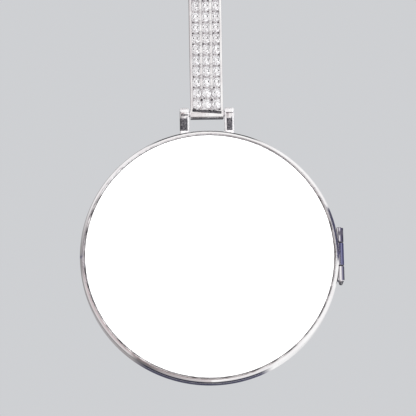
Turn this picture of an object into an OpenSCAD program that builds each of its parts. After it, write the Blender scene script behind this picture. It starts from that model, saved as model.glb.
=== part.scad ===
// Round hinged photo locket hanging from a stone-set bail, as it hangs when worn.
// Millimetres, +Z up, the picture side faces -Y.
// The origin is the spot inside the top of the bail where a chain bears.

/* [Locket] */
// Outer diameter of the round locket
locket_d = 40; // [34:0.5:60]
// Depth of the closed locket, front to back
locket_depth = 3.2; // [3.2:0.1:5]
// Depth of the hinged lid, from the front to the seam
lid_depth = 0.85; // [0.85:0.05:1]
// Radial width of the bezel ring round the picture
bezel_w = 0.7; // [0.7:0.05:1.2]
// Thickness of the tray's side wall, also the radius of its back edge
side_wall = 0.8; // [0.7:0.05:0.9]
// Thickness of the tray's back
back_wall = 0.75; // [0.6:0.05:0.9]
// Thickness of the blank picture plate
plate_t = 0.37; // [0.3:0.01:0.4]
// Height of the bezel ring above the picture plate
bezel_proud = 0.15; // [0.1:0.05:0.2]
// How far the locket's mid plane sits in front of the pin, so that it hangs plumb
locket_forward = 0.35; // [0.2:0.05:0.4]

/* [Side hinge] */
// Distance of the hinge line outside the locket's edge
hinge_out = 0.15; // [0.1:0.05:0.3]
// Radius of the hinge knuckles
knuckle_r = 0.58; // [0.55:0.01:0.65]
// Length of the lid's middle knuckle
mid_knuckle = 3.62; // [3:0.1:5]
// Length of each outer knuckle on the tray
end_knuckle = 2.34; // [2:0.1:3]
// Radius of the hinge pin
hinge_pin_r = 0.28; // [0.25:0.01:0.3]
// Length of the hinge pin's tapered foot
pin_foot = 0.5; // [0.3:0.1:0.8]

/* [Ears and bail pin] */
// Height of the bail pin above the locket's edge
pin_rise = 3.15; // [2.8:0.05:6]
// Gap between the two ears
ear_gap = 5.5; // [5.5:0.05:6]
// Thickness of each ear
ear_t = 1.5; // [1.2:0.1:2]
// Radius of the round eye at the top of each ear
ear_eye_r = 1; // [0.9:0.05:1.2]
// Front to back depth of an ear's leg
ear_leg = 1.5; // [1.2:0.1:1.8]
// Radius of the bail pin
bail_pin_r = 0.42; // [0.35:0.01:0.45]

/* [Bail] */
// Height of the chain seat above the pin
bail_drop = 22; // [21.8:0.1:23]
// Inner radius of the bail's top
eye_r = 2.6; // [2.5:0.05:3]
// Thickness of the strap
strap_t = 1; // [1:0.05:1.3]
// Width of the strap
strap_w = 5.1; // [5.1:0.05:5.2]
// Width of the tube end round the pin
tube_w = 5.24; // [5.1:0.02:5.3]
// Radius of the tube end
tube_r = 0.9; // [0.85:0.01:0.95]

/* [Stones] */
// Rows of stones up the front of the bail
stone_rows = 13; // [8:1:13]
// Diameter of a stone across its girdle
stone_d = 1.48; // [1.3:0.02:1.5]
// Spacing of the rows along the strap
row_pitch = 1.72; // [1.6:0.01:1.76]
// Spacing of the columns across the strap
col_pitch = 1.58; // [1.56:0.01:1.6]
// Height of the lowest row above the strap's foot, along the strap
first_row = 1.52; // [1.5:0.01:1.8]
// Depth of the channel that the stones sit in
channel_depth = 0.2; // [0.15:0.01:0.22]

/* [Hidden] */
$fn = 96;
stone_cols = 3;

// Clearances
pin_fit = 0.02;        // round a pin in the piece that holds it
pin_run = 0.05;        // round a pin in the piece that turns on it
seam_gap = 0.1;        // between lid and tray
knuckle_gap = 0.08;    // between neighbouring knuckles, end to end
knuckle_clear = 0.12;  // round a knuckle in the other half's edge
plate_gap = 0.1;       // round the edge of the picture plate
glue_gap = 0.03;       // behind the picture plate
stone_gap = 0.03;      // round a stone in its seat
cut = 1;               // how far a cutting shape runs past a face

// Locket, measured from its mid plane, front towards the viewer
locket_r = locket_d / 2;
front = locket_depth / 2;
seam = front - lid_depth - seam_gap / 2;
lid_back = seam + seam_gap / 2;
tray_front = seam - seam_gap / 2;
front_edge_r = 0.4;
recess_r = locket_r - bezel_w;
plate_front = front - bezel_proud;
plate_back = plate_front - plate_t;
web_front = plate_back - glue_gap;
pin_height = locket_r + pin_rise;
locket_z = -bail_drop - pin_height;
ear_foot = locket_r - 1.06 * side_wall - pin_height;

// Side hinge
hinge_x = locket_r + hinge_out;
hinge_half = mid_knuckle / 2 + knuckle_gap + end_knuckle;
leaf_depth = 0.5;
foot_r = 0.42;
foot_tip_r = 0.25;

// Bail, seen from the side: a drop-shaped loop whose straight runs touch both end circles
top_r = eye_r + strap_t;
root_r = 0.84;
top_z = bail_drop - eye_r;
lean = asin((top_r - root_r) / top_z);
run_length = top_z * cos(lean);
eye_low_r = 0.3;
eye_low_z = top_z - (eye_r - eye_low_r) / sin(lean);
rail_w = (strap_w - 2 * col_pitch - stone_d) / 2 - 0.05;
channel_w = strap_w - 2 * rail_w;
channel_start = first_row - row_pitch / 2 - 0.32;
channel_end = first_row + (stone_rows - 0.5) * row_pitch + 0.32;
bead_r = 0.25;
rail_bead_r = 0.2;
bead_rise = 0.06;

// Round brilliant: heights from the girdle as shares of the diameter
girdle_r = stone_d / 2;
table_r = 0.57 * girdle_r;
crown_h = 0.15 * stone_d;
pavilion_h = 0.43 * stone_d;
girdle_depth = 0.16;

function stone_name(row, col) = str("stone_", row < 10 ? "0" : "", row, "_", col);
stone_nodes = [for (row = [1:stone_rows], col = [1:stone_cols]) stone_name(row, col)];

// Points and directions of the front run of the strap, in the side view as [y, z].
// An angle of 0 faces the viewer and 90 faces up; s is the length along the strap.
function facing(angle) = [-cos(angle), sin(angle)];
function strap_angle(s) = -lean + max(0, s - run_length) / top_r * 180 / PI;
function strap_point(s) = s < run_length
    ? root_r * facing(-lean) + s * [-sin(lean), cos(lean)]
    : [0, top_z] + top_r * facing(strap_angle(s));
function row_place(row) = first_row + (row - 1) * row_pitch;
function col_place(col) = (col - (stone_cols + 1) / 2) * col_pitch;

// Moves shapes built with +Z towards the viewer into the locket's place
module in_locket() {
    translate([0, -locket_forward, locket_z])
        rotate([90, 0, 0])
            children();
}

// Moves a side view drawn as [y, z] from the bail pin, and gives it a width along X
module side_view(width) {
    translate([0, 0, -bail_drop])
        rotate([90, 0, 90])
            linear_extrude(width, center = true)
                children();
}

// Puts children on the strap, with +Z out of its face
module on_strap(x, s) {
    place = strap_point(s);
    translate([x, place[0], place[1] - bail_drop])
        rotate([90 - strap_angle(s), 0, 0])
            children();
}

// Rod along the hinge line, between two heights above the locket's centre
module hinge_rod(radius, low, high) {
    translate([hinge_x, low, seam])
        rotate([-90, 0, 0])
            cylinder(h = high - low, r = radius);
}

// Rod along the bail pin's line, centred
module bail_rod(radius, width) {
    translate([0, 0, -bail_drop])
        rotate([0, 90, 0])
            cylinder(h = width, r = radius, center = true);
}

// Half profile of the tray: flat back, round back edge, hollow to the front
module tray_profile() {
    difference() {
        union() {
            translate([0, -front])
                square([locket_r - side_wall, tray_front + front]);
            translate([0, -front + side_wall])
                square([locket_r, tray_front + front - side_wall]);
            translate([locket_r - side_wall, -front + side_wall])
                circle(side_wall);
        }
        translate([-cut, -front + back_wall])
            square([locket_r - side_wall + cut, locket_depth]);
        translate([-locket_r, -locket_depth])
            square([locket_r, 2 * locket_depth]);
    }
}

// Half profile of the lid: bezel ring with a round outer edge, and a thin backing
module lid_profile() {
    difference() {
        union() {
            translate([0, lid_back])
                square([locket_r - front_edge_r, front - lid_back]);
            translate([0, lid_back])
                square([locket_r, front - lid_back - front_edge_r]);
            translate([locket_r - front_edge_r, front - front_edge_r])
                circle(front_edge_r);
        }
        translate([-cut, web_front])
            square([recess_r + cut, locket_depth]);
        translate([-locket_r, -locket_depth])
            square([locket_r, 2 * locket_depth]);
    }
}

// Drop shape: a large circle above a small one, with the flat sides that touch both
module drop_outline(big_r, small_r, small_z) {
    translate([0, top_z])
        circle(big_r);
    translate([0, small_z])
        circle(small_r);
    side = facing(-lean);
    polygon([
        [0, top_z] + big_r * side,
        [0, small_z] + small_r * side,
        [0, small_z] + small_r * [-side[0], side[1]],
        [0, top_z] + big_r * [-side[0], side[1]]
    ]);
}

// One ear: a leg on the tray's edge with a round eye for the bail pin
module ear() {
    side_view(ear_t) {
        circle(ear_eye_r);
        translate([-ear_leg / 2, ear_foot])
            square([ear_leg, -ear_foot]);
    }
}

module back_case() {
    color("gainsboro")
        difference() {
            union() {
                in_locket()
                    rotate_extrude()
                        tray_profile();
                for (side = [-1, 1])
                    translate([side * (ear_gap + ear_t) / 2, 0, 0])
                        ear();
                in_locket()
                    for (low = [-hinge_half, mid_knuckle / 2 + knuckle_gap]) {
                        hinge_rod(knuckle_r, low, low + end_knuckle);
                        translate([locket_r - side_wall, low, tray_front - leaf_depth])
                            cube([side_wall + hinge_out, end_knuckle, leaf_depth]);
                    }
            }
            bail_rod(bail_pin_r + pin_fit, ear_gap + 2 * ear_t + cut);
            in_locket() {
                hinge_rod(hinge_pin_r + pin_fit, -hinge_half - cut, hinge_half + cut);
                hinge_rod(knuckle_r + knuckle_clear, -mid_knuckle / 2 - knuckle_gap,
                    mid_knuckle / 2 + knuckle_gap);
            }
        }
}

module front_lid() {
    color("whitesmoke")
        in_locket()
            difference() {
                union() {
                    difference() {
                        rotate_extrude()
                            lid_profile();
                        for (low = [-hinge_half - knuckle_gap, mid_knuckle / 2])
                            hinge_rod(knuckle_r + knuckle_clear, low, low + end_knuckle + 2 * knuckle_gap);
                    }
                    hinge_rod(knuckle_r, -mid_knuckle / 2, mid_knuckle / 2);
                }
                hinge_rod(hinge_pin_r + pin_run, -hinge_half, hinge_half);
            }
}

module photo_plate() {
    color("white")
        in_locket()
            translate([0, 0, plate_back])
                cylinder(h = plate_t, r = recess_r - plate_gap, $fn = 192);
}

module hinge_pin() {
    color("silver")
        in_locket() {
            hinge_rod(hinge_pin_r, -hinge_half - knuckle_gap, hinge_half);
            translate([hinge_x, -hinge_half - knuckle_gap, seam])
                rotate([90, 0, 0])
                    cylinder(h = pin_foot, r1 = foot_r, r2 = foot_tip_r);
        }
}

module bail() {
    color("lightgray")
        difference() {
            union() {
                difference() {
                    side_view(strap_w)
                        drop_outline(top_r, root_r, 0);
                    side_view(strap_w + cut)
                        drop_outline(eye_r, eye_low_r, eye_low_z);
                    side_view(channel_w)
                        channel_outline();
                }
                bail_rod(tube_r, tube_w);
                for (row = [0:stone_rows], col = [0:stone_cols])
                    bead(row, col);
            }
            bail_rod(bail_pin_r + pin_run, tube_w + cut);
            for (row = [1:stone_rows], col = [1:stone_cols])
                stone_seat(row, col);
        }
}

// Side view of the shallow channel in the strap's face: the strap's skin between its two ends
module channel_outline() {
    start = strap_point(channel_start);
    end_face = facing(strap_angle(channel_end));
    difference() {
        drop_outline(top_r + cut, root_r + cut, 0);
        drop_outline(top_r - channel_depth, root_r - channel_depth, 0);
        polygon([
            start + 3 * cut * facing(-lean),
            start - 3 * channel_depth * facing(-lean),
            [0, top_z],
            [0, top_z] + 3 * top_r * end_face,
            [3 * top_r, 2 * top_z],
            [3 * top_r, -top_z],
            [-top_r, -top_z]
        ]);
    }
}

// Prong bead at the corner between stones; the outermost beads lean on the rails
module bead(row, col) {
    on_rail = col == 0 || col == stone_cols;
    radius = on_rail ? rail_bead_r : bead_r;
    x = on_rail ? sign(col - 1) * (strap_w / 2 - rail_bead_r - 0.02) : (col - stone_cols / 2) * col_pitch;
    on_strap(x, row_place(row + 0.5))
        translate([0, 0, bead_rise - channel_depth])
            sphere(radius, $fn = 32);
}

// Cone-shaped seat for one stone
module stone_seat(row, col) {
    on_strap(col_place(col), row_place(row))
        translate([0, 0, -girdle_depth - pavilion_h - stone_gap])
            cylinder(h = pavilion_h + stone_gap, r1 = stone_gap, r2 = girdle_r + stone_gap);
}

module bail_pin() {
    color("silver")
        bail_rod(bail_pin_r, ear_gap + 2 * ear_t);
}

// Round brilliant: octagonal table, star, kite and half facets, and a pointed pavilion.
// Points are the table's ring, the star ring, the girdle ring and the culet.
module stone(row, col) {
    star_r = 0.52 * (table_r + girdle_r);
    star_h = crown_h * (girdle_r - star_r * cos(22.5)) / (girdle_r - table_r);
    table = [for (i = [0:7]) [table_r * cos(45 * i), table_r * sin(45 * i), crown_h]];
    stars = [for (i = [0:7]) [star_r * cos(45 * i + 22.5), star_r * sin(45 * i + 22.5), star_h]];
    girdle = [for (j = [0:15]) [girdle_r * cos(22.5 * j), girdle_r * sin(22.5 * j), 0]];
    culet = 32;
    faces = [
        [for (i = [7:-1:0]) i],
        for (i = [0:7]) [i, (i + 1) % 8, 8 + i],
        for (i = [0:7]) [i, 8 + i, 16 + 2 * i, 8 + (i + 7) % 8],
        for (i = [0:7]) [8 + i, 17 + 2 * i, 16 + 2 * i],
        for (i = [0:7]) [8 + i, 16 + (2 * i + 2) % 16, 17 + 2 * i],
        for (j = [0:15]) [16 + j, 16 + (j + 1) % 16, culet]
    ];
    color("azure")
        on_strap(col_place(col), row_place(row))
            translate([0, 0, -girdle_depth])
                polyhedron(concat(table, stars, girdle, [[0, 0, -pavilion_h]]), faces);
}

back_case();
front_lid();
photo_plate();
hinge_pin();
bail();
bail_pin();
for (row = [1:stone_rows], col = [1:stone_cols])
    stone(row, col);
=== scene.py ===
from functools import partial
from itertools import product
from math import asin, cos, pi, radians, sin, tan

import bmesh
import bpy
from mathutils import Matrix, Vector


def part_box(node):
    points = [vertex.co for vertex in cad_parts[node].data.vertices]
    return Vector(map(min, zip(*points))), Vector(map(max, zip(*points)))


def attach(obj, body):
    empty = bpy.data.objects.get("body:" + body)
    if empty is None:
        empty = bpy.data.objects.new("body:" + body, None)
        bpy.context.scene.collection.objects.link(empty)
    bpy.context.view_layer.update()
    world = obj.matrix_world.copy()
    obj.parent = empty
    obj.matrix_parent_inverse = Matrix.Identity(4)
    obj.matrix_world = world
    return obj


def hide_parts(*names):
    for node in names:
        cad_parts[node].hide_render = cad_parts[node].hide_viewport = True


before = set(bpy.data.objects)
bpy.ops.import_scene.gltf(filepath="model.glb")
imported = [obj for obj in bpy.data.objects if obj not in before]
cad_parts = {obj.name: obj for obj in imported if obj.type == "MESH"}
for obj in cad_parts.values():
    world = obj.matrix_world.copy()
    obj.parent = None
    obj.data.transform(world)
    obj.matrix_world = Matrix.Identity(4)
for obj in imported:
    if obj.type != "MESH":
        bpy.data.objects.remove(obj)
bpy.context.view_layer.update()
scene = bpy.context.scene
mm = 0.001  # every size in the dictionaries is in millimetres
weld = 0.0002 * mm  # points closer than this are one point
print("frame loaded with", len(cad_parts), "nodes")


# Helpers for meshes

def boxOf(node):
    low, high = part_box(node)
    return low / mm, high / mm


def addObject(name, data):
    thing = bpy.data.objects.new(name, data)
    scene.collection.objects.link(thing)
    return thing


def addMesh(name, points, faces, edges=()):
    mesh = bpy.data.meshes.new(name)
    mesh.from_pydata([Vector(p) * mm for p in points], edges, faces)
    return addObject(name, mesh)


# A bare line through points, for a node tree to turn or to follow
def addLine(name, points):
    return addMesh(name, points, [], [(i, i + 1) for i in range(len(points) - 1)])


# Makes the evaluated result a plain mesh
def bakeShape(thing):
    graph = bpy.context.evaluated_depsgraph_get()
    mesh = bpy.data.meshes.new_from_object(thing.evaluated_get(graph))
    thing.modifiers.clear()
    thing.data = mesh
    return thing


def faceOutward(thing):
    shape = bmesh.new()
    shape.from_mesh(thing.data)
    bmesh.ops.remove_doubles(shape, verts=shape.verts, dist=weld)
    bmesh.ops.dissolve_degenerate(shape, edges=shape.edges, dist=weld)
    bmesh.ops.recalc_face_normals(shape, faces=shape.faces)
    shape.to_mesh(thing.data)
    shape.free()
    return thing


# Changes one closed shape by another, which is used up
def combine(base, tool, operation):
    modifier = base.modifiers.new(operation, "BOOLEAN")
    modifier.operation = operation
    modifier.solver = "EXACT"
    modifier.material_mode = "TRANSFER"
    modifier.object = tool
    bakeShape(base)
    bpy.data.objects.remove(tool)


join = partial(combine, operation="UNION")
cut = partial(combine, operation="DIFFERENCE")


def smoothFaces(thing, sharpFrom=32):
    thing.data.shade_smooth()
    thing.data.set_sharp_from_angle(angle=radians(sharpFrom))
    return thing


# Gives a material to the faces that a test of their centre and normal picks
def paintFaces(thing, material, picks):
    thing.data.materials.append(material)
    slot = len(thing.data.materials) - 1
    for face in thing.data.polygons:
        if picks(face.center / mm, face.normal):
            face.material_index = slot


def giveMaterial(thing, material):
    thing.data.materials.clear()
    thing.data.materials.append(material)
    return thing


# Rounds the edges of a plated block
def roundEdges(thing, width, steps):
    bevel = thing.modifiers.new("edges", "BEVEL")
    bevel.width = width * mm
    bevel.segments = steps
    bevel.limit_method = "ANGLE"
    bevel.angle_limit = radians(50)
    return giveMaterial(bakeShape(thing), plating)


# Corners are (across, along, radius); each arc has a short flat before and after it
def roundCorners(corners, steps, flat=0.03):
    points = []
    for i, (across, along, radius) in enumerate(corners):
        here = Vector((across, along))
        if radius == 0:
            points.append(here)
            continue
        before = (Vector(corners[i - 1][:2]) - here).normalized()
        after = (Vector(corners[(i + 1) % len(corners)][:2]) - here).normalized()
        half = before.angle(after) / 2
        reach = radius / tan(half)
        centre = here + (before + after).normalized() * radius / sin(half)
        start = here + before * reach - centre
        turn = (pi - 2 * half) * (1 if before.cross(after) < 0 else -1)
        points.append(here + before * (reach + flat))
        for step in range(steps + 1):
            points.append(centre + Matrix.Rotation(turn * step / steps, 2) @ start)
        points.append(here + after * (reach + flat))
    return points


# Helpers for nodes

# Links a socket or a node's first output, or sets a value, by name or number
def fillInputs(node, inputs):
    for key, value in inputs.items():
        if isinstance(value, bpy.types.Node):
            value = value.outputs[0]
        if isinstance(value, bpy.types.NodeSocket):
            node.id_data.links.new(value, node.inputs[key])
        else:
            node.inputs[key].default_value = value
    return node


# Inputs are given by name, or as i and a number
def addNode(tree, kind, settings=None, **inputs):
    node = tree.nodes.new(kind)
    for name, value in (settings or {}).items():
        setattr(node, name, value)
    return fillInputs(node, {int(n[1:]) if n[1:].isdigit() else n: v for n, v in inputs.items()})


# The tree is the one that the values come from
def mathOf(operation, *values, kind="ShaderNodeMath"):
    tree = next(v.id_data for v in values if hasattr(v, "id_data"))
    return addNode(tree, kind, {"operation": operation}, **{f"i{i}": v for i, v in enumerate(values)})


vectorMathOf = partial(mathOf, kind="ShaderNodeVectorMath")


def times(*values):
    result = values[0]
    for value in values[1:]:
        result = mathOf("MULTIPLY", result, value)
    return result


def rangeOf(value, fromLow, fromHigh, toLow=0, toHigh=1):
    node = addNode(value.id_data, "ShaderNodeMapRange", Value=value)
    return fillInputs(node, {"From Min": fromLow, "From Max": fromHigh, "To Min": toLow, "To Max": toHigh})


# Each stop is (place, red, green, blue) in percent
def rampOf(factor, stops):
    node = addNode(factor.id_data, "ShaderNodeValToRGB", Fac=factor)
    elements = node.color_ramp.elements
    elements.remove(elements[1])
    for i, stop in enumerate(stops):
        position, *colour = [percent / 100 for percent in stop]
        element = elements.new(position) if i else elements[0]
        element.position = position
        element.color = (*colour, 1)
    return node


# Each colour is a tuple or comes from a node
def mixColours(factor, first, second):
    node = addNode(factor.id_data, "ShaderNodeMix", {"data_type": "RGBA"}, i0=factor)
    for key, colour in ((6, first), (7, second)):
        fillInputs(node, {key: (*colour, 1) if isinstance(colour, tuple) else colour})
    return node.outputs[2]


# Helpers for Geometry Nodes

def newTree(name, **inputs):
    tree = bpy.data.node_groups.new(name, "GeometryNodeTree")
    for kind, labels in {"Geometry": ["Geometry"], **inputs, "Material": ["Material"]}.items():
        for label in labels:
            tree.interface.new_socket(label, in_out="INPUT", socket_type="NodeSocket" + kind)
    tree.interface.new_socket("Geometry", in_out="OUTPUT", socket_type="NodeSocketGeometry")
    return tree, tree.nodes.new("NodeGroupInput").outputs


def closeTree(tree, given, geometry):
    realized = addNode(tree, "GeometryNodeRealizeInstances", Geometry=geometry)
    painted = addNode(tree, "GeometryNodeSetMaterial", Geometry=realized, Material=given["Material"])
    addNode(tree, "NodeGroupOutput", i0=painted)
    return tree


# Sets a tree's named inputs by their identifiers and bakes the result
def runTree(thing, tree, values):
    modifier = thing.modifiers.new(tree.name, "NODES")
    modifier.node_group = tree
    for item in tree.interface.items_tree:
        if item.in_out == "INPUT" and item.name in values:
            modifier[item.identifier] = values[item.name]
    return bakeShape(thing)


# Splits the running index into a row and a place in that row
def rowAndPlace(tree, perRow):
    index = addNode(tree, "GeometryNodeInputIndex")
    row = mathOf("FLOOR", mathOf("DIVIDE", mathOf("ADD", index, 0.5), perRow))
    return row, mathOf("SUBTRACT", index, times(row, perRow))


# Turns a profile on an axis: x of each profile point is its radius and z its height
def makeLatheTree():
    tree, given = newTree("lathe", Int=["Turns"])
    node = partial(addNode, tree)
    profile, turns = given["Geometry"], given["Turns"]
    count = node("GeometryNodeAttributeDomainSize", Geometry=profile).outputs["Point Count"]
    grid = node("GeometryNodeMeshGrid")
    fillInputs(grid, {"Vertices X": mathOf("ADD", turns, 1), "Vertices Y": count})
    ring, spot = rowAndPlace(tree, count)
    sample = node("GeometryNodeSampleIndex", {"data_type": "FLOAT_VECTOR"},
                  Geometry=profile, Value=node("GeometryNodeInputPosition"), Index=spot)
    radius, _, height = node("ShaderNodeSeparateXYZ", Vector=sample.outputs["Value"]).outputs
    angle = mathOf("DIVIDE", times(ring, 2 * pi), turns)
    place = node("ShaderNodeCombineXYZ", X=times(radius, mathOf("COSINE", angle)),
                 Y=times(radius, mathOf("SINE", angle)), Z=height)
    moved = node("GeometryNodeSetPosition", Geometry=grid, Position=place)
    merged = node("GeometryNodeMergeByDistance", Geometry=moved, Distance=2 * weld)
    return closeTree(tree, given, merged)


# Lays copies of an object in rows and columns along a path, standing on the path's outer side
def makeRowsTree():
    tree, given = newTree("rowsAlongPath", Object=["Copy"], Int=["Rows", "Columns", "Seed"], Float=[
        "First row", "Row pitch", "Column pitch", "Sink", "Spin", "Size spread"])
    node = partial(addNode, tree)
    path = node("GeometryNodeMeshToCurve", Mesh=given["Geometry"])
    spots = node("GeometryNodePoints", Count=times(given["Rows"], given["Columns"]))
    row, column = rowAndPlace(tree, given["Columns"])
    along = mathOf("MULTIPLY_ADD", row, given["Row pitch"], given["First row"])
    sample = node("GeometryNodeSampleCurve", {"mode": "LENGTH", "use_all_curves": True},
                  Curves=path, Length=along)
    middle = times(mathOf("SUBTRACT", given["Columns"], 1), 0.5)
    across = times(mathOf("SUBTRACT", column, middle), given["Column pitch"])
    outward = vectorMathOf("CROSS_PRODUCT", (1.0, 0.0, 0.0), sample.outputs["Tangent"])
    sunk = node("ShaderNodeVectorMath", {"operation": "SCALE"}, i0=outward, Scale=times(given["Sink"], -1))
    offset = vectorMathOf("ADD", sunk, node("ShaderNodeCombineXYZ", X=across))
    placed = node("GeometryNodeSetPosition", Geometry=spots,
                  Position=vectorMathOf("ADD", sample.outputs["Position"], offset))
    stand = node("FunctionNodeAxesToRotation", {"primary_axis": "Z", "secondary_axis": "X"},
                 i0=outward, i1=(1.0, 0.0, 0.0))
    spin = node("FunctionNodeRandomValue", Seed=given["Seed"],
                i2=times(given["Spin"], -1), i3=given["Spin"])
    turn = node("FunctionNodeAxisAngleToRotation", Axis=(0.0, 0.0, 1.0), Angle=spin.outputs[1])
    rotation = node("FunctionNodeRotateRotation", {"rotation_space": "LOCAL"}, i0=stand, i1=turn)
    size = node("FunctionNodeRandomValue", Seed=mathOf("ADD", given["Seed"], 1),
                i2=mathOf("SUBTRACT", 1.0, given["Size spread"]), i3=1.0)
    copied = node("GeometryNodeObjectInfo", Object=given["Copy"])
    laid = node("GeometryNodeInstanceOnPoints", Points=placed,
                Instance=copied.outputs["Geometry"], Rotation=rotation, Scale=size.outputs[1])
    return closeTree(tree, given, laid)


latheTree = makeLatheTree()
rowsTree = makeRowsTree()


# A profile with both ends on the axis, turned and put in place
def turnPart(name, profile, turns, material, place=Matrix.Identity(4)):
    part = addLine(name, [(p[0], 0, p[1]) for p in profile])
    runTree(part, latheTree, {"Turns": turns, "Material": material})
    part.data.transform(place)
    return faceOutward(part)


# A rod between two heights, with both ends chamfered
def turnRod(name, radius, low, high, turns, material, place, chamfer=0.001):
    profile = [(0, low), (radius - chamfer, low), (radius, low + chamfer),
               (radius, high - chamfer), (radius - chamfer, high), (0, high)]
    return turnPart(name, profile, turns, material, place)


# Materials

# Noise with features of a size in millimetres, stretched along an axis if asked
def noiseOf(tree, size, detail=2.0, stretch=(1, 1, 1), turn=(0, 0, 0)):
    place = addNode(tree, "ShaderNodeTexCoord").outputs["Object"]
    mapping = addNode(tree, "ShaderNodeMapping", Vector=place,
                      Rotation=[radians(a) for a in turn], Scale=[1 / (size * mm * s) for s in stretch])
    return addNode(tree, "ShaderNodeTexNoise", Vector=mapping, Scale=1.0, Detail=detail)


def startMaterial(name):
    material = bpy.data.materials.new(name)
    material.use_nodes = True
    tree = material.node_tree
    return material, partial(noiseOf, tree), tree.nodes["Principled BSDF"]


def bumpOf(height, depth, **normal):
    return addNode(height.id_data, "ShaderNodeBump", Height=height, Distance=depth * mm, **normal)


platedLook = dict(
    bright=(0.93, 0.925, 0.93), dull=(0.87, 0.85, 0.86), roughness=(0.035, 0.1),
    smudgeSize=2.4, waveSize=1.6, waveDepth=0.006, scratchSize=0.35, scratchDepth=0.0005,
    scratchRuns=[((1, 12, 1), (20, 35, 15)), ((10, 1, 12), (-25, 10, 40))],  # stretch and turn of each
)


# White plating, polished by hand: faint smudges, soft waves and hairline scratches
def makePlatedMetal(look):
    material, noise, shader = startMaterial("platedMetal")
    smudge = noise(look["smudgeSize"], 4)
    scratches = [noise(look["scratchSize"], 3, *run) for run in look["scratchRuns"]]
    wave = bumpOf(noise(look["waveSize"], 1), look["waveDepth"])
    fillInputs(shader, {
        "Metallic": 1,
        "Base Color": mixColours(rangeOf(smudge, 0.35, 0.7), look["bright"], look["dull"]),
        "Roughness": rangeOf(smudge, 0.3, 0.75, *look["roughness"]),
        "Normal": bumpOf(mathOf("ADD", *scratches), look["scratchDepth"], Normal=wave)})
    return material


# Metal with one grain; spread is the part of the noise over which bright turns to dull
def makeGrainMetal(name, look):
    material, noise, shader = startMaterial(name)
    grain = noise(look["grain"], look["detail"], look["stretch"])
    fillInputs(shader, {
        "Metallic": look["metallic"],
        "Base Color": mixColours(rangeOf(grain, *look["spread"]), look["bright"], look["dull"]),
        "Roughness": rangeOf(grain, 0.3, 0.7, *look["roughness"]),
        "Normal": bumpOf(grain, look["depth"])})
    return material


roundGrain = dict(metallic=1.0, spread=(0.35, 0.65), detail=3, stretch=(1, 1, 1))
asDrawn = dict(metallic=1.0, spread=(0, 1), detail=2, stretch=(1, 1, 40))

# Painted shade and painted dark reflections: the hinge's gaps, the ears' legs and eyes, the step under the
# stones, the pits and the hinge pin's foot
paintedShadeMetal = makeGrainMetal("paintedShadeMetal", roundGrain | dict(
    bright=(0.32, 0.31, 0.33), dull=(0.05, 0.05, 0.065), roughness=(0.3, 0.5),
    grain=0.2, depth=0.03))

# The stones' channel, and a painted highlight along the top of the bezel's lip
recessMetal = makeGrainMetal("recessMetal", roundGrain | dict(
    bright=(0.95, 0.94, 0.95), dull=(0.6, 0.58, 0.6), roughness=(0.25, 0.45),
    grain=0.5, depth=0.02))

# The rest of the bezel's lip: painted shade of the gap round the plate, dark in jagged patches
grooveShadeMetal = makeGrainMetal("grooveShadeMetal", roundGrain | dict(
    bright=(0.95, 0.92, 0.92), dull=(0.12, 0.11, 0.12), roughness=(0.35, 0.5),
    grain=1.6, depth=0.03))

# Painted highlights on the ears' caps, right-facing edges and feet, as pale, less mirror-like metal
paintedHighlightMetal = makeGrainMetal("paintedHighlightMetal", roundGrain | dict(
    bright=(0.97, 0.96, 0.97), dull=(0.86, 0.84, 0.85), roughness=(0.4, 0.55),
    metallic=0.6, grain=0.5, depth=0.006))

# Both pins, of drawn wire
pinLook = asDrawn | dict(
    bright=(0.88, 0.87, 0.88), dull=(0.72, 0.7, 0.72), roughness=(0.1, 0.24),
    grain=0.05, depth=0.0008)

# The hinge's barrels, of drawn tube
hingeMetal = makeGrainMetal("hingeMetal", asDrawn | dict(
    bright=(0.95, 0.94, 0.95), dull=(0.86, 0.85, 0.87), roughness=(0.0, 0.012),
    grain=0.05, depth=0.0002))

# Backs and inner faces, brushed upright
satinMetal = makeGrainMetal("satinMetal", asDrawn | dict(
    bright=(0.9, 0.89, 0.9), dull=(0.84, 0.83, 0.84), roughness=(0.26, 0.32),
    grain=0.04, depth=0.0004, stretch=(1, 1, 60)))


printLook = dict(
    white=(0.96, 0.96, 0.96), shade=(0.93, 0.93, 0.935), fibreSize=0.25, fibreDepth=0.001, roughness=0.4,
    coatRoughness=0.04, peelSize=1.2, peelDepth=0.004)


# Blank white print under a clear coat
def makeWhitePrint(look):
    material, noise, shader = startMaterial("whitePrint")
    fibre = noise(look["fibreSize"], 4, (1, 1, 2.5))
    fillInputs(shader, {
        "Base Color": mixColours(rangeOf(fibre, 0.35, 0.65), look["white"], look["shade"]),
        "Roughness": look["roughness"],
        "Normal": bumpOf(fibre, look["fibreDepth"]),
        "Coat Weight": 1,
        "Coat Roughness": look["coatRoughness"],
        "Coat Normal": bumpOf(noise(look["peelSize"], 1), look["peelDepth"])})
    return material


stoneLook = dict(
    clear=(1.0, 1.0, 1.0), tint=(0.93, 0.95, 0.99), tintSize=1.7, index=2.15, roughness=(0.0, 0.03))


# Clear zirconia with a faint cold tint, not the same on every stone
def makeClearStone(look):
    material, noise, shader = startMaterial("clearStone")
    cloud = noise(look["tintSize"])
    fillInputs(shader, {
        "Base Color": mixColours(cloud, look["clear"], look["tint"]),
        "Roughness": rangeOf(cloud, 0.45, 0.75, *look["roughness"]),
        "IOR": look["index"],
        "Transmission Weight": 1})
    return material


plating = makePlatedMetal(platedLook)
uprightPinMetal = makeGrainMetal("uprightPinMetal", pinLook)
crossPinMetal = makeGrainMetal("crossPinMetal", pinLook | dict(stretch=(40, 1, 1)))
whitePrint = makeWhitePrint(printLook)
clearStone = makeClearStone(stoneLook)
print("materials made")


# The locket's place, from the frame
plateLow, plateHigh = boxOf("photo_plate")
locketCentre = (plateLow + plateHigh) / 2
lidLow = boxOf("front_lid")[0]
locketRadius = locketCentre.x - lidLow.x
locketFront = lidLow.y
locketBack = boxOf("back_case")[1].y
locketMiddle = (locketFront + locketBack) / 2
frontFace = (locketBack - locketFront) / 2

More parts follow.
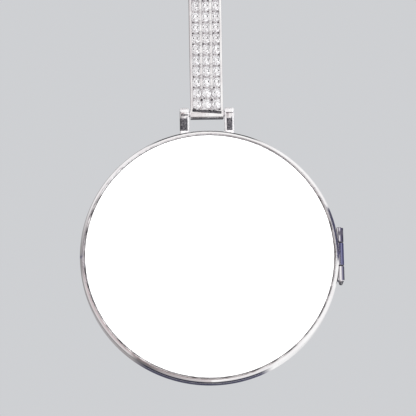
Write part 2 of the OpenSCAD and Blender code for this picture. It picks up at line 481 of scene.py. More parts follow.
# Local x to the right, y up and z towards the viewer, from the middle of the locket's depth
locketPlace = Matrix(((1, 0, 0, locketCentre.x * mm),
                      (0, 0, -1, locketMiddle * mm),
                      (0, 1, 0, locketCentre.z * mm),
                      (0, 0, 0, 1)))

hinge = dict(
    out=0.15, radius=0.58, middle=3.62, end=2.34, gap=0.08, clear=0.12, bore=0.3, lidBore=0.33, seam=0.7,
    chamfer=0.07, leafDepth=0.49, leafIn=0.8, leafRound=0.06, darkIn=0.45, darkReach=0.2, turns=64)
hingeLine = Matrix.Translation(Vector((locketCentre.x + locketRadius + hinge["out"],
                                       locketMiddle - hinge["seam"], locketCentre.z)) * mm)
middleHalf = hinge["middle"] / 2
hingeHalf = middleHalf + hinge["gap"] + hinge["end"]
hingeRoom = hinge["radius"] + hinge["clear"]


# Picks the barrels' ends on either side of the hinge's two gaps, for painted shade
def besideGap(spot, normal):
    apart = abs(spot.z - locketCentre.z) - middleHalf - hinge["gap"] / 2
    near = spot.x > locketRadius - hinge["darkIn"] and abs(apart) < hinge["darkReach"]
    return near and abs(normal.z) > 0.3


def hingeRod(name, radius, low, high, **chamfer):
    return turnRod(name, radius, low, high, hinge["turns"], hingeMetal, hingeLine, **chamfer)


def makeKnuckle(low, high):
    return hingeRod("knuckle", hinge["radius"], low, high, chamfer=hinge["chamfer"])


lidShape = dict(
    depth=0.85, bezel=0.7, outerRound=0.4, lipWide=0.14, lipDeep=0.12, lipRound=0.03, highlightFrom=10,
    satinEdge=0.3, backRound=0.02, recess=0.55, recessRound=0.04, turns=288)


# The hinged lid: bezel ring, thin backing and the middle knuckle
def makeLid(look):
    back = frontFace - look["depth"]
    web = frontFace - look["recess"]
    inner = locketRadius - look["bezel"]
    lipEdge = inner + look["lipWide"]
    profile = roundCorners([
        (0, back, 0), (locketRadius, back, look["backRound"]),
        (locketRadius, frontFace, look["outerRound"]), (lipEdge, frontFace, look["lipRound"]),
        (inner, frontFace - look["lipDeep"], look["lipRound"]), (inner, web, look["recessRound"]),
        (0, web, 0)], 6)
    lid = turnPart("bezelLid", profile, look["turns"], plating, locketPlace)
    for low in (-hingeHalf - hinge["gap"], middleHalf):
        high = low + hinge["end"] + 2 * hinge["gap"]
        cut(lid, hingeRod("notch", hingeRoom, low, high))
    join(lid, makeKnuckle(-middleHalf, middleHalf))
    cut(lid, hingeRod("bore", hinge["lidBore"], -hingeHalf, hingeHalf))
    smoothFaces(faceOutward(lid))
    groove = locketMiddle - web + 0.1
    paintFaces(lid, satinMetal, lambda spot, normal: normal.y > 0.99 and spot.y > groove
               and (spot - locketCentre).xz.length < locketRadius - look["satinEdge"])
    for side, metal in ((1, recessMetal), (-1, grooveShadeMetal)):  # painted highlight on the lip's slope along the top, painted shade below
        paintFaces(lid, metal, lambda spot, normal: spot.y < groove
                   and (spot - locketCentre).xz.length < lipEdge + 0.01
                   and side * (spot.z - locketCentre.z - look["highlightFrom"]) > 0)
    # Painted shade on the barrels' ends beside the hinge's gaps
    paintFaces(lid, paintedShadeMetal, besideGap)
    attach(lid, "lid")
    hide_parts("front_lid")


makeLid(lidShape)
print("lid made")


trayShape = dict(
    front=0.65, wall=0.8, back=0.75, backRound=0.8, rimRound=0.02, floorRound=0.25, turns=288)

earShape = dict(
    gap=5.5, width=1.5, eye=1.0, leg=0.75, foot=0.848, cap=0.25, shoulder=0.86, solder=2.87, edge=0.3,
    edgeSteps=4, segments=40, leftLine=(-0.44, -0.24), rightLine=(-0.2, -0.02))
bailHigh = boxOf("bail")[1]
pinLow, pinHigh = boxOf("bail_pin")
pinHeight = (pinLow.z + pinHigh.z) / 2


# One ear: a leg on the tray's edge with a round eye for the bail pin
def makeEar(side, look):
    foot = locketCentre.z + locketRadius - look["foot"] - pinHeight
    start = asin(look["leg"] / look["eye"]) - pi / 2
    sweep = pi - 2 * start
    outline = [(-look["leg"], foot), (look["leg"], foot)]
    for step in range(look["segments"] + 1):
        angle = start + sweep * step / look["segments"]
        outline.append((look["eye"] * cos(angle), look["eye"] * sin(angle)))
    outline += [(-look["leg"], -look["shoulder"]), (-look["leg"], -look["solder"])]
    count = len(outline)
    near = side * look["gap"] / 2
    far = side * (look["gap"] / 2 + look["width"])
    points = [(x, y, z + pinHeight) for x in (near, far) for y, z in outline]
    faces = [tuple(range(count)), tuple(range(2 * count - 1, count - 1, -1))]
    faces += [(i, (i + 1) % count, (i + 1) % count + count, i + count) for i in range(count)]
    ear = faceOutward(addMesh("ear", points, faces))
    return faceOutward(roundEdges(ear, look["edge"], look["edgeSteps"]))


# The flat block that carries an outer knuckle, from two corners in the locket's directions
def makeLeaf(low, high):
    faces = [(0, 1, 3, 2), (4, 6, 7, 5), (0, 4, 5, 1), (2, 3, 7, 6), (0, 2, 6, 4), (1, 5, 7, 3)]
    leaf = roundEdges(addMesh("leaf", list(product(*zip(low, high))), faces), hinge["leafRound"], 3)
    leaf.data.transform(locketPlace)
    return faceOutward(leaf)


# Where the ears get painted highlights, painted shade and painted dark reflections, in the order of
# painting
def paintEars(tray, look):
    ringTop = locketCentre.z + locketRadius + 0.1
    cap = pinHeight + look["cap"]
    shoulder = pinHeight - look["shoulder"]
    solder = pinHeight - look["solder"]
    for metal, picks in (
            (paintedHighlightMetal, lambda spot, normal: spot.z > ringTop and (spot.z > cap or normal.x > 0.1)),
            (paintedShadeMetal, lambda spot, normal: solder < spot.z < shoulder
             and normal.y < -0.99 and spot.y < 0.02 - look["leg"]),
            (paintedHighlightMetal, lambda spot, normal: ringTop - 1.2 < spot.z < solder and normal.y < -0.1
             and abs(spot.y + look["leg"]) < look["edge"] + 0.02 and abs(spot.x) > look["gap"] / 2),
            (paintedShadeMetal, lambda spot, normal: solder < spot.z < shoulder
             and spot.x < 0 and normal.y < -0.1 and normal.x < -0.1),
            (paintedHighlightMetal, lambda spot, normal: ringTop < spot.z
             and spot.x > 0 and normal.y < -0.1 and normal.x < -0.1)):
        paintFaces(tray, metal, picks)
    for side, (low, high) in ((-1, look["leftLine"]), (1, look["rightLine"])):  # painted dark reflection across each eye
        paintFaces(tray, paintedShadeMetal, lambda spot, normal: side * spot.x > 0 and abs(spot.z - pinHeight) < 0.5
                   and normal.y < -0.85 and low < normal.z < high)


# The tray behind, with the ears and the outer hinge knuckles soldered on
def makeTray(look):
    back = -frontFace
    inner = locketRadius - look["wall"]
    floor = back + look["back"]
    profile = roundCorners([
        (0, back, 0), (locketRadius, back, look["backRound"]),
        (locketRadius, look["front"], look["rimRound"]), (inner, look["front"], look["rimRound"]),
        (inner, floor, look["floorRound"]), (0, floor, 0)], 8)
    tray = turnPart("backTray", profile, look["turns"], plating, locketPlace)
    leafTop = look["front"] - 0.01
    for low in (-hingeHalf, middleHalf + hinge["gap"]):
        high = low + hinge["end"]
        join(tray, makeLeaf((locketRadius - hinge["leafIn"], low, leafTop - hinge["leafDepth"]),
                            (locketRadius + hinge["out"], high, leafTop)))
        join(tray, makeKnuckle(low, high))
    notch = middleHalf + hinge["gap"]
    cut(tray, hingeRod("notch", hingeRoom, -notch, notch))
    cut(tray, hingeRod("bore", hinge["bore"], -hingeHalf - 1, hingeHalf + 1))
    for side in (-1, 1):
        join(tray, makeEar(side, earShape))
    smoothFaces(faceOutward(tray))
    inside = locketBack - look["back"]
    paintFaces(tray, satinMetal, lambda spot, normal: (normal.y > 0.99 and spot.y > locketBack - 0.05)
               or (normal.y < -0.99 and abs(spot.y - inside) < 0.05))
    # Painted shade on the barrels' ends beside the hinge's gaps
    paintFaces(tray, paintedShadeMetal, besideGap)
    paintEars(tray, earShape)
    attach(tray, "locket")
    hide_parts("back_case")


makeTray(trayShape)
print("tray made")


plateShape = dict(edge=0.06, turns=256)


# The blank picture plate
def makePlate(look):
    radius = plateHigh.x - locketCentre.x
    front = locketMiddle - plateLow.y
    back = locketMiddle - plateHigh.y
    profile = roundCorners([
        (0, back, 0), (radius, back, look["edge"]), (radius, front, look["edge"]), (0, front, 0)], 4)
    plate = smoothFaces(turnPart("picturePlate", profile, look["turns"], whitePrint, locketPlace))
    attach(plate, "lid")
    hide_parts("photo_plate")


makePlate(plateShape)


hingePinShape = dict(radius=0.28, foot=0.5, footWide=0.42, footNarrow=0.25, round=0.06, turns=48)


# The hinge pin with its tapered foot
def makeHingePin(look):
    low, high = boxOf("hinge_pin")
    top = high.z - locketCentre.z
    tip = low.z - locketCentre.z
    shoulder = tip + look["foot"]
    profile = roundCorners([
        (0, tip, 0), (look["footNarrow"], tip, look["round"]), (look["footWide"], shoulder, look["round"]),
        (look["radius"], shoulder, 0), (look["radius"], top, look["round"]), (0, top, 0)], 3)
    pin = smoothFaces(turnPart("hingePin", profile, look["turns"], uprightPinMetal, hingeLine))
    # Painted shade on the pin's tapered foot
    paintFaces(pin, paintedShadeMetal, lambda spot, normal: spot.z < locketCentre.z + shoulder - 0.01)
    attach(pin, "locket")
    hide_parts("hinge_pin")


makeHingePin(hingePinShape)


bailPinShape = dict(round=0.12, turns=64)
acrossPlace = Matrix.Translation(Vector((0, 0, pinHeight)) * mm) @ Matrix.Rotation(pi / 2, 4, "Y")


# The cross pin, rounded over at its ends
def makeBailPin(look):
    radius = (pinHigh.z - pinLow.z) / 2
    half = pinHigh.x
    profile = roundCorners([
        (0, -half, 0), (radius, -half, look["round"]), (radius, half, look["round"]), (0, half, 0)], 4)
    pin = smoothFaces(turnPart("bailPin", profile, look["turns"], crossPinMetal, acrossPlace))
    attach(pin, "locket")
    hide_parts("bail_pin")


makeBailPin(bailPinShape)
print("plate and pins made")


bailShape = dict(
    strap=1.0, width=5.1, eye=2.6, root=0.84, lowEye=0.3, tube=0.9, tubeWidth=5.24, tubeChamfer=0.1,
    bore=0.47, rows=13, columns=3, stone=1.48, rowPitch=1.72, columnPitch=1.58, firstRow=1.52,
    channel=0.2, channelPast=0.22, channelEdge=0.012, rail=0.09, bar=0.27, barStart=3.85, barLow=0.1,
    barSlope=[(0, 1), (0.03, 0.45), (0.06, 0.12), (0.09, 0), (0.11, 0)],  # inward, and share of the depth
    stepHeight=0.3, stepRadius=0.22, stepTilt=5, stepChamfer=0.05, outerRound=0.09, innerRound=0.14,
    arcSteps=72, rootSteps=18)


# Angle 0 faces the viewer and a quarter turn faces up
def facing(angle):
    return Vector((-cos(angle), sin(angle)))


# The bail's side view, as (y, z) from the cross pin: two circles and the straight runs that touch both
topCentre = bailHigh.z - bailShape["strap"] - bailShape["eye"] - pinHeight
topSpot = Vector((0, topCentre))
topRadius = bailShape["eye"] + bailShape["strap"]
lean = asin((topRadius - bailShape["root"]) / topCentre)
front, rear = facing(-lean), facing(pi + lean)
frontUp, rearUp = Vector((-sin(lean), cos(lean))), Vector((sin(lean), cos(lean)))
runLength = topCentre * cos(lean)
lowEyeHeight = topCentre - (bailShape["eye"] - bailShape["lowEye"]) / sin(lean)
barPlace = bailShape["columnPitch"] / 2
railInner = 3 * barPlace - bailShape["rail"]
junction = bailShape["firstRow"] - bailShape["rowPitch"] / 2  # where the first four stones would meet
channelStart = junction - bailShape["channelPast"]
channelEnd = junction + bailShape["rows"] * bailShape["rowPitch"] + bailShape["channelPast"]


def depthAt(along):
    return bailShape["channel"] if channelStart < along < channelEnd else 0


# One cross-section: points across the outer face, then back across the inner face
def strapSection(outer, outerNormal, inner, innerNormal, depth, barShare=1):
    half = bailShape["width"] / 2
    big, small = bailShape["innerRound"], bailShape["outerRound"]
    quarter = [pi / 8 * step for step in range(5)]
    side = [(bailShape["bar"] - rise, share * depth) for rise, share in bailShape["barSlope"]]
    bar = [(x, depth - barShare * (depth - d)) for x, d in side]
    right = [(barPlace - x, d) for x, d in bar] + [(barPlace, bar[-1][1])]
    right += [(barPlace + x, d) for x, d in reversed(bar)]
    right += [(3 * barPlace - x, d) for x, d in side] + [(half - small - 0.01, 0)]
    right += [(half - small + small * sin(a), small - small * cos(a)) for a in quarter]
    face = [(-x, d) for x, d in reversed(right)] + [(0, depth)] + right
    corner = [(half - big + big * cos(a), big - big * sin(a)) for a in quarter] + [(half - big - 0.03, 0)]
    back = corner + [(-x, d) for x, d in reversed(corner)]
    points = [(x, *(outer - d * outerNormal)) for x, d in face]
    points += [(x, *(inner + d * innerNormal)) for x, d in back]
    return [(x, y, z + pinHeight) for x, y, z in points]


# Sections all the way round the drop-shaped loop
def strapSections(look):
    root, strap, edge = look["root"], look["strap"], look["channelEdge"]
    eyeStart = lowEyeHeight * cos(lean)
    sections = []

    def add(*section):
        sections.append(strapSection(*section))

    rowEdges = [junction + row * look["rowPitch"] for row in range(1, look["rows"] + 1)]
    barEnds = [look["barStart"] - 0.1, look["barStart"] + 0.1]
    for along in [eyeStart] + barEnds + [s for s in rowEdges if barEnds[1] < s < runLength] + [runLength]:
        outer = root * front + along * frontUp
        barShare = 1 if along > look["barStart"] else look["barLow"]
        add(outer, front, outer - strap * front, front, depthAt(along), barShare)
    angles = [-lean + (pi + 2 * lean) * step / look["arcSteps"] for step in range(1, look["arcSteps"])]
    endAngle = (channelEnd - runLength) / topRadius - lean
    for angle in sorted(angles + [endAngle - edge / topRadius, endAngle + edge / topRadius]):
        normal = facing(angle)
        outer, inner = topSpot + topRadius * normal, topSpot + look["eye"] * normal
        depth = depthAt(runLength + (angle + lean) * topRadius)
        add(outer, normal, inner, normal, depth)
    for along in (runLength, runLength * 0.6, eyeStart):
        outer = root * rear + along * rearUp
        add(outer, rear, outer - strap * rear, rear, 0)

    # The solid foot: its outside goes round the pin and its inside round the low end of the eye
    def footFacing(share):
        return facing(-(pi - lean) + (pi - 2 * lean) * share)

    foot = [(root * rear + s * rearUp, rear, 0) for s in (eyeStart * 0.66, eyeStart * 0.33, 0)]
    for step in range(1, look["rootSteps"]):
        normal = footFacing(step / look["rootSteps"])
        foot.append((root * normal, normal, 0))
    for along in (0, channelStart - edge, channelStart + edge, 0.9, eyeStart * 0.66):
        foot.append((root * front + along * frontUp, front, depthAt(along)))
    for i, (outer, outerNormal, depth) in enumerate(foot):
        innerNormal = footFacing((i + 1) / (len(foot) + 1))
        inner = Vector((0, lowEyeHeight)) + look["lowEye"] * innerNormal
        add(outer, outerNormal, inner, innerNormal, depth, look["barLow"])
    return sections


# Picks the faces of the sunk channel between the rails
def inChannel(spot, normal):
    side = Vector((spot.y, spot.z - pinHeight))
    if side.dot(frontUp) < runLength:
        depth = bailShape["root"] - side.dot(front)
    else:
        depth = topRadius - (side - topSpot).length
    return abs(spot.x) < railInner + 0.01 and 0.003 < depth < bailShape["channel"] + 0.02


def makeStrap(look):
    sections = strapSections(look)
    count, width = len(sections), len(sections[0])
    faces = []
    for i, j in product(range(count), range(width)):
        nextI, nextJ = (i + 1) % count, (j + 1) % width
        faces.append((i * width + j, i * width + nextJ, nextI * width + nextJ, nextI * width + j))
    strap = giveMaterial(addMesh("bailStrap", sum(sections, []), faces), plating)
    paintFaces(faceOutward(strap), recessMetal, inChannel)
    paintFaces(strap, satinMetal, lambda spot, normal: normal.y > 0.95 and spot.y > 0
               and abs(spot.x) < look["width"] / 2 - 0.1)
    return strap


# The line up the middle of the strap's front, which the stones and beads follow
def makeStrapPath(name):
    start = bailShape["root"] * front
    points = [start, start + runLength * frontUp]
    points += [topSpot + topRadius * facing(radians(2 * step) - lean) for step in range(1, 61)]
    return addLine(name, [(0, p.x, p.y + pinHeight) for p in points])


# Rows of copies along the strap, as one mesh; by default where the stones sit
def layRows(name, copy, material, sink, spin=0.0, sizeSpread=0.0, seed=1, **changes):
    look = bailShape | changes
    laid = runTree(makeStrapPath(name), rowsTree, {
        "Copy": copy, "Rows": look["rows"], "Columns": look["columns"], "First row": look["firstRow"] * mm,
        "Row pitch": look["rowPitch"] * mm, "Column pitch": look["columnPitch"] * mm, "Sink": sink * mm,
        "Spin": spin, "Size spread": sizeSpread, "Seed": seed, "Material": material})
    bpy.data.objects.remove(copy)
    return laid


# Shares of the stone's width, but for the depth that it is sunk and the gap to its seat
stoneShape = dict(
    table=0.57, starReach=0.52, crown=0.15, pavilion=0.43, girdle=0.02, lowerHalves=0.77, depth=0.16,
    seatGap=0.03)


def ringOf(count, reach, height, shift=0.0):
    angles = [2 * pi * (i + shift) / count for i in range(count)]
    return [(reach * cos(a), reach * sin(a), height) for a in angles]


# Round brilliant: table, stars, kites, upper halves, girdle, lower halves, mains and culet
def makeBrilliant(look):
    radius = bailShape["stone"] / 2
    table = look["table"] * radius
    star = look["starReach"] * (table + radius)
    crown = look["crown"] * bailShape["stone"]
    starHeight = crown * (radius - star * cos(pi / 8)) / (radius - table)
    pavilion = look["pavilion"] * bailShape["stone"]
    band = look["girdle"] * bailShape["stone"]
    lower = radius * (1 - look["lowerHalves"])
    lowerHeight = -band - (pavilion - band) * (1 - lower * cos(pi / 8) / radius)
    points = ringOf(8, table, crown) + ringOf(8, star, starHeight, 0.5)
    points += ringOf(16, radius, 0) + ringOf(16, radius, -band)
    points += ringOf(8, lower, lowerHeight, 0.5) + [(0, 0, -pavilion)]
    b, c, d, e, culet = 8, 16, 32, 48, 56  # where each ring of points starts
    faces = [tuple(range(8))]
    for i in range(8):
        n, last = (i + 1) % 8, (i + 7) % 8
        faces += [(i, n, b + i), (i, b + i, c + 2 * i, b + last),
                  (b + i, c + 2 * i + 1, c + 2 * i), (b + i, c + (2 * i + 2) % 16, c + 2 * i + 1),
                  (e + i, d + 2 * i, d + 2 * i + 1), (e + i, d + 2 * i + 1, d + (2 * i + 2) % 16),
                  (culet, e + last, d + 2 * i, e + i)]
    faces += [(c + j, c + (j + 1) % 16, d + (j + 1) % 16, d + j) for j in range(16)]
    return faceOutward(addMesh("brilliant", points, faces))


def makeSeat(look):
    reach = bailShape["stone"] / 2 + look["seatGap"]
    deep = look["pavilion"] * bailShape["stone"] + look["seatGap"]
    return turnPart("seat", [(0, -deep), (look["seatGap"], -deep), (reach, 0), (0, 0)], 32, recessMetal)


def makeStones(look):
    stones = layRows("bailStones", makeBrilliant(look), clearStone, look["depth"], spin=pi, seed=7)
    stones.data.shade_flat()
    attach(stones, "bail")
    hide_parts(*[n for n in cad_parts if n.startswith("stone_")])


pitShape = dict(
    radius=0.14, bottom=0.09, depth=0.15, spread=0.6, lowRadius=0.2, lowPlace=2.15)


# The small pit that is left where metal was raised for a bead
def makePit(look, radius):
    profile = [(0, -look["depth"]), (look["bottom"], -look["depth"]), (radius, 0.03), (0, 0.03)]
    return turnPart("pit", profile, 12, paintedShadeMetal)


def makeBail(look):
    bail = makeStrap(look)
    half = look["tubeWidth"] / 2
    join(bail, turnRod("tube", look["tube"], -half, half, 96, plating, acrossPlace,
                       look["tubeChamfer"]))
    cut(bail, turnRod("bore", look["bore"], -half - 1, half + 1, 64, plating, acrossPlace))
    # A step under the lowest stones, its faces in painted shadow
    spot = look["root"] * front + look["stepHeight"] * frontUp
    tilt = Matrix.Rotation(-radians(look["stepTilt"]), 4, Vector((0, *front)))
    place = Matrix.Translation(Vector((0, spot.x, spot.y + pinHeight)) * mm) @ tilt
    place = place @ Matrix.Rotation(pi / 2, 4, "Y")
    cut(bail, turnRod("step", look["stepRadius"], -railInner, railInner, 32, paintedShadeMetal, place,
                      look["stepChamfer"]))
    cut(bail, layRows("seats", makeSeat(stoneShape), plating, stoneShape["depth"]))
    # Pits beside the beads, their faces in painted shade
    cut(bail, layRows("lowPits", makePit(pitShape, pitShape["lowRadius"]), paintedShadeMetal, look["channel"],
                      rows=1, columns=2, firstRow=pitShape["lowPlace"]))
    cut(bail, layRows("pits", makePit(pitShape, pitShape["radius"]), paintedShadeMetal, look["channel"],
                      rows=look["rows"] + 1, columns=2 * look["columns"], firstRow=junction,
                      columnPitch=barPlace, sizeSpread=pitShape["spread"], seed=5))
    smoothFaces(faceOutward(bail))
    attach(bail, "bail")
    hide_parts("bail")


# Two beads on each bar where four stones meet, and a small one between the pits of each column
beadShape = dict(
    rings=8, turns=18, spread=0.12,
    groups=[
        dict(radius=0.2, columns=2, skip=2, shift=-0.2, sink=0.1, seed=3),
        dict(radius=0.2, columns=2, skip=0, shift=0.2, sink=0.1, seed=4),
        dict(radius=0.15, columns=3, skip=0, shift=0.0, sink=0.14, seed=6)])


def makeBeads(look):
    shape = bmesh.new()
    for group in look["groups"]:
        angles = [pi * ring / look["rings"] for ring in range(look["rings"] + 1)]
        profile = [(group["radius"] * sin(a), -group["radius"] * cos(a)) for a in angles]
        bead = turnPart("bead", profile, look["turns"], plating)
        first = junction + group["skip"] * bailShape["rowPitch"] + group["shift"]
        laid = layRows("beads", bead, plating, group["sink"],
                       rows=bailShape["rows"] + 1 - group["skip"], columns=group["columns"],
                       firstRow=first, sizeSpread=look["spread"], seed=group["seed"])
        shape.from_mesh(laid.data)
        bpy.data.objects.remove(laid)
    beads = addObject("prongBeads", bpy.data.meshes.new("prongBeads"))
    shape.to_mesh(beads.data)
    shape.free()
    giveMaterial(smoothFaces(beads, 60), plating)
    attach(beads, "bail")


makeBail(bailShape)
print("bail made")
makeStones(stoneShape)
makeBeads(beadShape)
print("stones and beads made")


# Camera at the photo's angle: below the pendant and looking up a little
cameraSetup = dict(
    aim=(-0.00007, 0.00101, -0.03691), distance=0.5, azimuth=1.17, elevation=-14.32, roll=1.07,
    lens=278.05, sensor=36)


def makeCamera(setup):
    camera = addObject("camera", bpy.data.cameras.new("camera"))
    tilt = radians(setup["elevation"])
    swing = radians(setup["azimuth"])
    back = Vector((-sin(swing) * cos(tilt), -cos(swing) * cos(tilt), sin(tilt)))
    camera.location = Vector(setup["aim"]) + back * setup["distance"]
    camera.rotation_mode = "QUATERNION"
    roll = Matrix.Rotation(-radians(setup["roll"]), 3, "Z")
    camera.rotation_quaternion = ((-back).to_track_quat("-Z", "Y").to_matrix() @ roll).to_quaternion()
    camera.data.lens = setup["lens"]
    camera.data.sensor_width = setup["sensor"]
    camera.data.clip_start = 0.01
    camera.data.clip_end = 20
    scene.camera = camera


makeCamera(cameraSetup)


# Height and half width are in metres
floorShape = dict(height=-0.9, half=4.0, pale=(0.74, 0.74, 0.75), shade=(0.71, 0.71, 0.72),
                  cloudSize=300, roughness=0.8)


# Plain pale floor, far below
def makeFloor(look):
    half, height = look["half"] / mm, look["height"] / mm
    floor = addMesh("floor", [(x, y, height) for x, y in product((-half, half), repeat=2)], [(0, 2, 3, 1)])
    material, noise, shader = startMaterial("paleFloor")
    cloud = noise(look["cloudSize"], 3)
    fillInputs(shader, {"Base Color": mixColours(cloud, look["pale"], look["shade"]),
                        "Roughness": look["roughness"]})
    giveMaterial(floor, material)
    floor.visible_glossy = False
    floor.visible_transmission = False
    floor.visible_shadow = False


makeFloor(floorShape)


# What the hinge's barrels mirror over a full turn round them; 50 is the front
barrelTop = [
    (0, 10, 9, 13), (42, 12, 11, 16), (45, 85, 83, 86), (53, 85, 83, 86), (55.5, 24, 22, 30),
    (62, 18, 17, 25), (63.5, 8, 7.5, 13), (73.5, 11, 10, 15), (75, 5, 5, 8), (100, 5, 5, 8)]
barrelMiddle = [
    (0, 5.5, 5.5, 13), (54, 5.5, 5.5, 13), (57, 13, 13, 25), (60, 27, 27, 43), (67.2, 25, 25, 40),
    (69.5, 7, 7, 16), (100, 4.5, 4.5, 12)]
barrelBottom = [
    (0, 36, 33, 36), (38.6, 36, 33, 36), (40, 60, 58, 60), (44, 64, 61, 64), (45.8, 105, 104, 105),
    (53.5, 105, 104, 105), (55.5, 60, 57, 60), (61, 50, 48, 52), (63, 26, 25, 36), (73.5, 24, 23, 33),
    (75, 6, 6, 9), (100, 5, 5, 8)]

# Round the direction that the locket's flat face mirrors: 0 left, 25 below, 50 right, 75 above
flatRing = [
    (0, 25, 22, 23), (2, 55, 47, 48), (4, 68, 57, 58), (14, 70, 59, 59), (15, 14, 11, 12),
    (17.2, 14, 11, 12), (18.5, 26, 20, 20), (27, 30, 25, 25), (30, 50, 46, 46), (33, 85, 82, 82),
    (35, 100, 100, 100), (49, 100, 99, 99), (52.2, 100, 99, 100), (53.5, 42, 40, 45), (56.2, 42, 40, 44),
    (58, 90, 89, 89), (60, 102, 101, 100), (80, 100, 98, 98), (90, 95, 92, 93), (92.5, 55, 52, 53),
    (94.5, 10, 8.5, 9), (98.5, 10, 8.5, 9), (100, 25, 22, 23)]
frontRing = [
    (0, 30, 27, 28), (1.4, 36, 31, 32), (3, 60, 51, 53), (4, 68, 57, 58), (14, 72, 61, 62),
    (15.2, 20, 16, 17), (17.2, 20, 15.5, 16.5), (18.5, 42, 34, 35), (24, 66, 57, 58), (26.8, 90, 85, 86),
    (31.5, 86, 82, 84), (33.5, 104, 104, 104), (76, 104, 103, 102), (80, 102, 100, 100), (92, 95, 92, 93),
    (94.5, 75, 72, 73), (97.5, 45, 42, 43), (100, 30, 27, 28)]
backRing = [
    (0, 30, 27, 28), (14.5, 30, 27, 27), (16.5, 4, 4.2, 10), (25, 4, 4.4, 10.5), (31.4, 6, 6, 13),
    (32.7, 100, 100, 100), (76, 95, 95, 95), (80, 70, 69, 70), (100, 30, 27, 28)]

# A card shows something within all of its spans, each (measure, from, to, soft edge)
inFront = ("back", None, -0.1, 0.15)
amidst = ("right", -0.04, 0.08, 0.03)

# What the tube end and the strap mirror has a bright side and a dull side
strapCards = [
    ("colour", (1.05, 1.04, 1.03), []),
    ("colour", (0.7, 0.65, 0.66), [("right", None, 0.0135, 0.0035)])]

# Every spot on a barrel of the hinge sends its look to one height of the tent
barrelCards = [
    ("barrel", barrelMiddle, []),
    ("barrel", barrelBottom, [("up", None, 0.22905, 0.0001)]),
    ("barrel", barrelTop, [("up", 0.23625, None, 0.0001)]),
    ("colour", (0.14, 0.13, 0.17), [("up", 0.2383, 0.2394, 0.0003)])]

tent = {
    "backdrop": (0.62, 0.63, 0.65), "mirror": (0.02, 0.233), "horizonCentre": (0.0, 0.03), "hingeAim": 1.6,
    "patchTurns": 260.0, "patchReach": 6.0,
    "cards": [
        ("ring", backRing, []),
        ("ring", frontRing, [inFront]),
        ("saturation", 0.3, [("reach", 0.55, None, 0.25)]),
        ("ring", flatRing, [inFront, ("reach", None, 0.08, 0.05)]),
        # Navy below and behind, and a bluish gap with grey patches at the right
        ("colour", (0.012, 0.013, 0.035), [("turn", 0.165, 0.305, 0.008), ("back", 0.3, 0.93, 0.03)]),
        ("colour", (0.06, 0.063, 0.135), [("turn", 0.494, 0.556, 0.006), ("reach", 0.2, None, 0.15)]),
        ("colour", (0.11, 0.105, 0.14), [("turn", 0.503, 0.556, 0.006), ("patch", 0.52, None, 0.06)]),
        # The strap's own card, and dark ones below, above and behind
        ("cards", strapCards, [inFront, amidst, ("up", None, 0.1, 0.04)]),
        ("colour", (0.045, 0.045, 0.05), [amidst, ("dip", 106, 160, 3)]),
        ("colour", (0.14, 0.14, 0.15), [amidst, ("dip", 128, 140, 4)]),
        ("colour", (0.06, 0.06, 0.065), [("right", -0.28, 0.28, 0.06), ("dip", -150, -60, 4)]),
        ("colour", (0.5, 0.5, 0.52), [("back", 0.5, None, 0.1), ("horizon", None, 0.19, 0.025)]),
        ("cards", barrelCards, [("up", 0.224, 0.2412, 0.0004), ("aside", 3.1, None, 0.5)])],
}


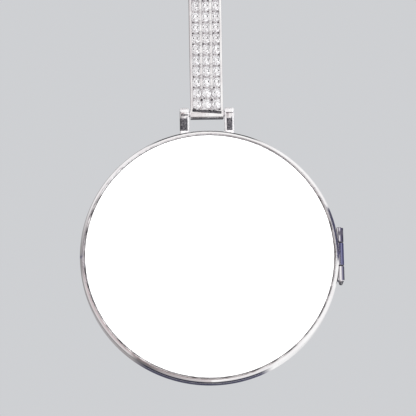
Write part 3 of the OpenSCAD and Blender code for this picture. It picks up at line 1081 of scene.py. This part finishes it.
# A soft light tent of pale cards, with dark gaps between them that draw the edges of the metal
def makeTent(look):
    world = bpy.data.worlds.new("tent")
    scene.world = world
    world.use_nodes = True
    tree = world.node_tree
    tree.nodes.clear()
    node = partial(addNode, tree)
    direction = node("ShaderNodeTexCoord").outputs["Generated"]
    right, back, up = node("ShaderNodeSeparateXYZ", Vector=direction).outputs

    def awayFrom(centre):
        across, over = mathOf("SUBTRACT", right, centre[0]), mathOf("SUBTRACT", up, centre[1])
        spot = node("ShaderNodeCombineXYZ", X=across, Y=over)
        return across, over, vectorMathOf("LENGTH", spot).outputs["Value"]

    across, over, reach = awayFrom(look["mirror"])
    turn = mathOf("MULTIPLY_ADD", mathOf("ARCTAN2", over, across), 0.5 / pi, 0.5)
    toViewer = times(back, -1)
    swing = mathOf("ARCTAN2", right, toViewer)
    measures = {
        "right": right, "back": back, "up": up, "turn": turn, "reach": reach,
        "dip": mathOf("DEGREES", mathOf("ARCTAN2", times(up, -1), toViewer)),
        "aside": mathOf("ABSOLUTE", mathOf("SUBTRACT", mathOf("DEGREES", swing), look["hingeAim"])),
        "horizon": awayFrom(look["horizonCentre"])[2],
        "patch": node("ShaderNodeTexNoise", Scale=1.0, Detail=1.0, Vector=node(
            "ShaderNodeCombineXYZ", X=times(turn, look["patchTurns"]), Y=times(reach, look["patchReach"]))),
    }

    # Full from low to high and falling to nothing over the soft edge; None is no end
    def between(value, low, high, soft):
        rise = [] if low is None else [rangeOf(value, low - soft, low)]
        fall = [] if high is None else [rangeOf(value, high, high + soft, 1, 0)]
        return times(*rise, *fall)

    # Later cards lie on top
    def showCards(cards, light=None):
        for kind, content, spans in cards:
            if kind == "ring":
                colour = rampOf(turn, content)
            elif kind == "barrel":
                colour = rampOf(mathOf("MULTIPLY_ADD", swing, 0.5 / pi, 0.5), content)
            elif kind == "saturation":
                colour = node("ShaderNodeHueSaturation", Color=light, Saturation=content)
            else:
                colour = showCards(content) if kind == "cards" else content
            if spans:
                cover = times(*[between(measures[name], *span) for name, *span in spans])
                colour = mixColours(cover, light, colour)
            light = colour
        return light

    glow = node("ShaderNodeBackground", Color=showCards(look["cards"]))
    plain = node("ShaderNodeBackground", Color=(*look["backdrop"], 1))
    ray = node("ShaderNodeLightPath").outputs["Is Camera Ray"]
    node("ShaderNodeOutputWorld", Surface=node("ShaderNodeMixShader", i0=ray, i1=glow, i2=plain))


makeTent(tent)


# Place, size, power and whether the stones let it through
softboxes = {
    "keyBox": ((0.25, -0.9, 0.3), 0.8, 9, False),
    "fillBox": ((-0.5, -0.8, -0.1), 0.7, 3, False),
    "rearBox": ((0.1, 0.9, 0.4), 0.7, 3, False),
    "sparkleBox": ((0.22, -0.75, 0.3), 0.35, 0.5, True),
    "lowSparkleBox": ((-0.2, -0.75, -0.35), 0.3, 0.4, True),
}


def addSoftbox(name, place, size, power, inStones):
    light = bpy.data.lights.new(name, "AREA")
    light.energy = power
    light.size = size
    lamp = addObject(name, light)
    lamp.location = place
    lamp.rotation_mode = "QUATERNION"
    lamp.rotation_quaternion = (Vector(place) - Vector(cameraSetup["aim"])).to_track_quat("Z", "Y")
    lamp.visible_camera = False
    lamp.visible_glossy = False
    lamp.visible_transmission = inStones


for name, setup in softboxes.items():
    addSoftbox(name, *setup)
scene.view_settings.view_transform = "Standard"
print("camera, floor and lights made")
